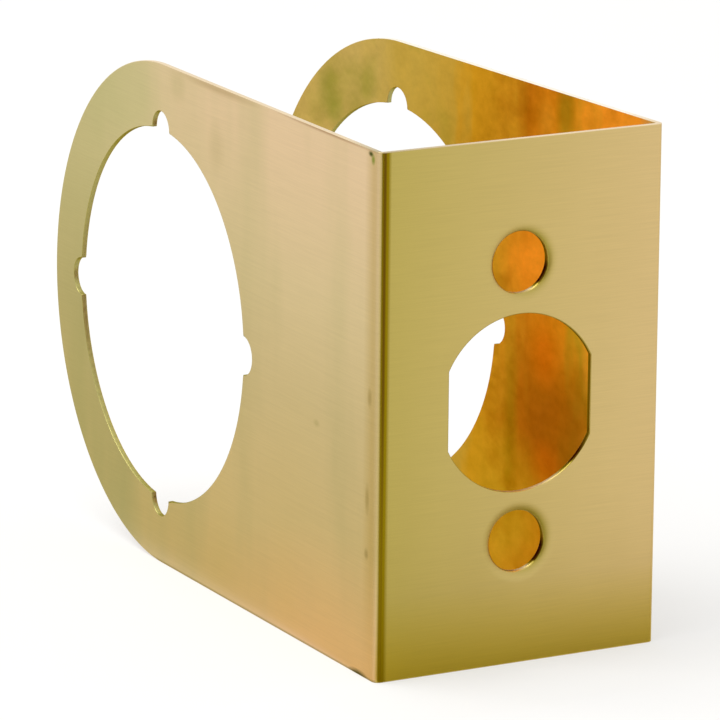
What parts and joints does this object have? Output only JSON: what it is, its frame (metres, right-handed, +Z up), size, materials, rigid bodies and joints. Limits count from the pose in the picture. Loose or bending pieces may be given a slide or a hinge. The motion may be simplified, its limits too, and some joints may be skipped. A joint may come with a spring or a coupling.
{
  "type": "door reinforcer plate",
  "caption": "U-folded brass sheet that wraps a door's edge, with a flat-sided latch cut-out, dished screw holes and a notched round cross bore through both round-ended legs.",
  "frame": {"origin": "where the latch's axis meets the door's edge: the inside of the front, midway between the screw holes", "axes": "+X across the door's thickness, +Y from the door's edge into the door along the legs, +Z up"},
  "size_m": [0.046, 0.1079, 0.0762],
  "materials": {
    "satin_brass": "brushed satin, lacquered"
  },
  "bodies": {
    "root": {"reinforcer_plate": "satin_brass"}
  },
  "joints": []
}
